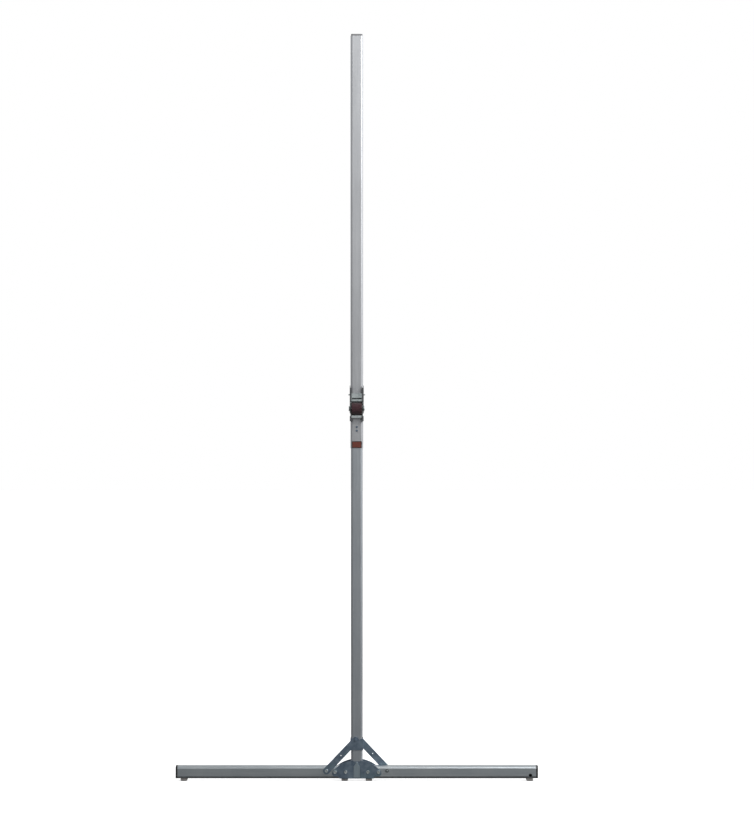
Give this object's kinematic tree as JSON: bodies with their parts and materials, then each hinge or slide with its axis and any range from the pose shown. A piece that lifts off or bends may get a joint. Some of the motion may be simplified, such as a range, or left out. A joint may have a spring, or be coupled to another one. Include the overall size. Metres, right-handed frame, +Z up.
{
  "type": "free-standing net post",
  "caption": "Telescoping square upright on a folding T-shaped foot, with braces, a sliding collar, rubber feet and a strap ratchet on its front.",
  "frame": {"origin": "on the floor straight below the post's axis, 8 mm under the foot plate", "axes": "+Z up the post; +X along the foot towards the leg with the round hole; -Y towards the side the ratchet is on"},
  "size_m": [1.184, 0.0982, 2.44],
  "materials": {
    "post_aluminium": "satin",
    "leg_metal": "satin",
    "zinc_steel": "blue-passivated",
    "bright_steel": "bright zinc",
    "ratchet_steel": "dull zinc",
    "webbing": "woven",
    "rubber": "matt",
    "black_plastic": "matt",
    "grey_plastic": "matt",
    "label": "matt"
  },
  "bodies": {
    "base": {"foot_plate": "zinc_steel", "core_stub": "zinc_steel", "post_insert": "zinc_steel", "tongue_front": "leg_metal", "tongue_rear": "leg_metal", "lower_post": "post_aluminium", "gusset_front_left": "zinc_steel", "gusset_rear_left": "zinc_steel", "foot_inner_left": "rubber", "inner_bolt_left": "bright_steel", "inner_nut_left": "bright_steel", "inner_spacer_left": "zinc_steel", "pivot_bolt_left": "bright_steel", "pivot_nut_left": "bright_steel", "gusset_front_right": "zinc_steel", "gusset_rear_right": "zinc_steel", "foot_inner_right": "rubber", "inner_bolt_right": "bright_steel", "inner_nut_right": "bright_steel", "inner_spacer_right": "zinc_steel", "pivot_bolt_right": "bright_steel", "pivot_nut_right": "bright_steel"},
    "left_leg": {"leg_left": "leg_metal", "leg_cap_left": "black_plastic", "foot_outer_left": "rubber", "brace_bolt_left": "bright_steel", "brace_nut_left": "ratchet_steel", "brace_washer_left": "bright_steel"},
    "right_leg": {"leg_right": "leg_metal", "leg_cap_right": "black_plastic", "foot_outer_right": "rubber", "brace_bolt_right": "bright_steel", "brace_nut_right": "ratchet_steel", "brace_washer_right": "bright_steel"},
    "left_brace": {"brace_left": "zinc_steel", "brace_rivet_left": "zinc_steel"},
    "right_brace": {"brace_right": "zinc_steel", "brace_rivet_right": "zinc_steel"},
    "collar": {"collar": "zinc_steel"},
    "upper_post": {"upper_post": "post_aluminium", "top_plug": "grey_plastic", "label": "label", "post_screw_1": "zinc_steel", "post_screw_2": "zinc_steel", "ratchet_frame": "ratchet_steel", "frame_rivet_1": "bright_steel", "frame_rivet_2": "bright_steel"},
    "handle": {"ratchet_handle": "ratchet_steel"},
    "spool": {"spool_shaft": "bright_steel", "ratchet_wheel_left": "ratchet_steel", "ratchet_wheel_right": "ratchet_steel", "strap_roll": "webbing", "spool_clip": "bright_steel"},
    "drive_pawl": {"drive_pawl": "bright_steel"},
    "lock_pawl": {"lock_pawl": "bright_steel"}
  },
  "joints": [
    {"name": "right_leg_fold", "type": "hinge", "parent": "base", "child": "right_leg", "pos_m": [0.071, 0, 0.0295], "axis": [0, -1, 0], "range_deg": [0, 90]},
    {"name": "left_leg_fold", "type": "hinge", "parent": "base", "child": "left_leg", "pos_m": [-0.071, 0, 0.0295], "axis": [0, 1, 0], "range_deg": [0, 90]},
    {"name": "collar_slide", "type": "slide", "parent": "base", "child": "collar", "axis": [0, 0, 1], "range_m": [0, 0.0465]},
    {"name": "right_brace_turn", "type": "hinge", "parent": "right_leg", "child": "right_brace", "pos_m": [0.099, 0, 0.034], "axis": [0, 1, 0], "range_deg": [0, 106.6]},
    {"name": "left_brace_turn", "type": "hinge", "parent": "left_leg", "child": "left_brace", "pos_m": [-0.099, 0, 0.034], "axis": [0, -1, 0], "range_deg": [0, 106.6]},
    {"name": "height_slide", "type": "slide", "parent": "base", "child": "upper_post", "axis": [0, 0, -1], "range_m": [0, 0.88]},
    {"name": "handle_turn", "type": "hinge", "parent": "upper_post", "child": "handle", "pos_m": [0, -0.0455, 1.216], "axis": [1, 0, 0], "range_deg": [0, 110]},
    {"name": "spool_turn", "type": "hinge", "parent": "upper_post", "child": "spool", "pos_m": [0, -0.0455, 1.216], "axis": [1, 0, 0], "continuous": true},
    {"name": "drive_pawl_slide", "type": "slide", "parent": "handle", "child": "drive_pawl", "axis": [0, 0, 1], "range_m": [0, 0.006], "stiffness_N_per_m": 400, "springref_m": -0.004},
    {"name": "lock_pawl_slide", "type": "slide", "parent": "upper_post", "child": "lock_pawl", "axis": [0, 0, -1], "range_m": [0, 0.005], "stiffness_N_per_m": 400, "springref_m": -0.004}
  ],
  "couplings": [
    {"joint": "left_leg_fold", "follows": "right_leg_fold", "ratio": 1},
    {"joint": "collar_slide", "follows": "right_leg_fold", "m_per_rad": 0.029577},
    {"joint": "right_brace_turn", "follows": "right_leg_fold", "ratio": 1.1843},
    {"joint": "left_brace_turn", "follows": "right_leg_fold", "ratio": 1.1843}
  ]
}
